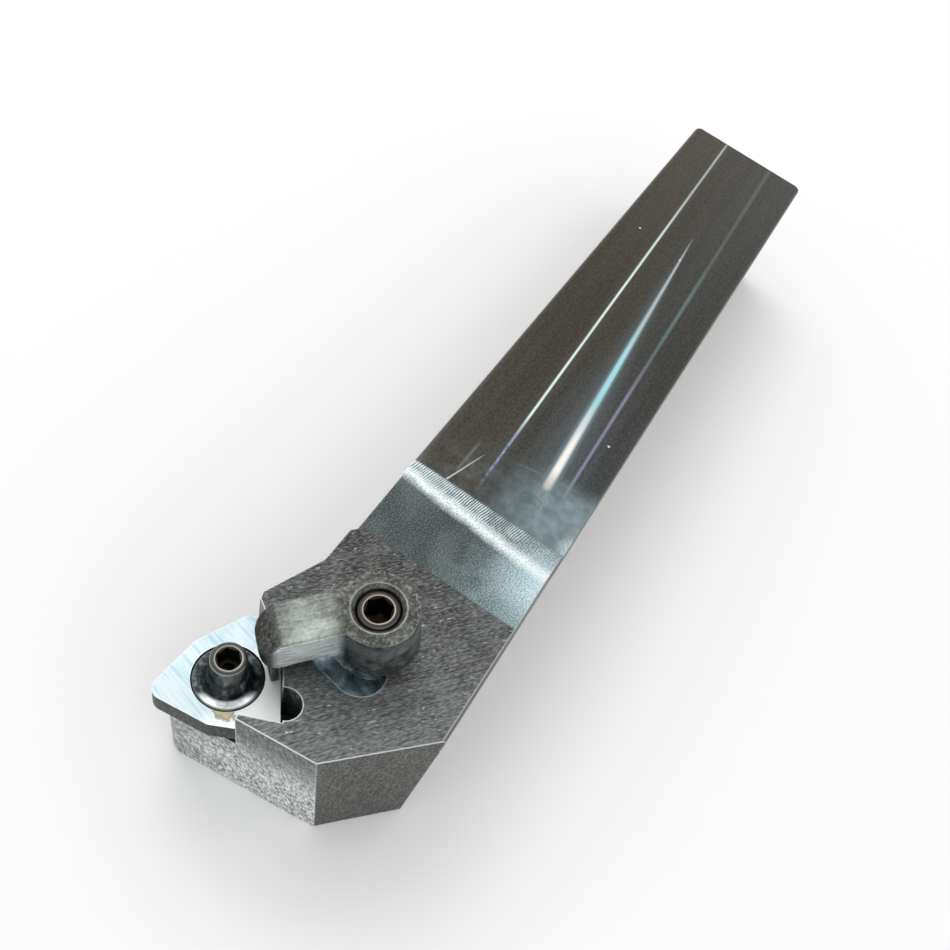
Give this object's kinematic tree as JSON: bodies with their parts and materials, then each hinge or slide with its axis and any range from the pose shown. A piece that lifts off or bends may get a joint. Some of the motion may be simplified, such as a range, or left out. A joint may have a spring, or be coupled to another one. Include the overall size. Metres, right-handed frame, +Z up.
{
  "type": "turning tool holder",
  "caption": "Square-shank left-hand turning tool holder with an open trigon pocket, ground seat, lock pin, tilted top clamp and its double-ended screw.",
  "frame": {"origin": "centre of the ground shank's base face", "axes": "+X along the shank towards the head, +Y to the reference side that rests in the tool post, +Z up from the base"},
  "size_m": [0.1266, 0.0249, 0.0262],
  "materials": {
    "body_steel": "dark ground and milled tool steel with fine marks",
    "seat_carbide": "bright ground hard metal",
    "pin_black": "glossy black oxide",
    "clamp_forged": "rough forged grey steel",
    "screw_black": "black oxide with a worn bright rim"
  },
  "bodies": {
    "holder": {"holder_body": "body_steel", "seat": "seat_carbide"},
    "clamp": {"clamp": "clamp_forged"},
    "clamp_screw": {"clamp_screw": "screw_black"},
    "lock_pin": {"lock_pin": "pin_black"}
  },
  "joints": [
    {"name": "clamp_lift", "type": "slide", "parent": "holder", "child": "clamp", "axis": [0.1513, -0.1426, 0.9781], "range_m": [0, 0.006]},
    {"name": "clamp_screw_turn", "type": "hinge", "parent": "clamp", "child": "clamp_screw", "pos_m": [0.07145, -0.00208, 0.0254], "axis": [0.1513, -0.1426, 0.9781], "range_deg": [0, 1361]},
    {"name": "lock_pin_turn", "type": "hinge", "parent": "holder", "child": "lock_pin", "pos_m": [0.08022, -0.01035, 0.01523], "axis": [0.0862, -0.0862, 0.9925], "range_deg": [0, 180]}
  ],
  "couplings": [
    {"joint": "clamp_screw_turn", "follows": "clamp_lift", "rad_per_m": 3957.9}
  ]
}
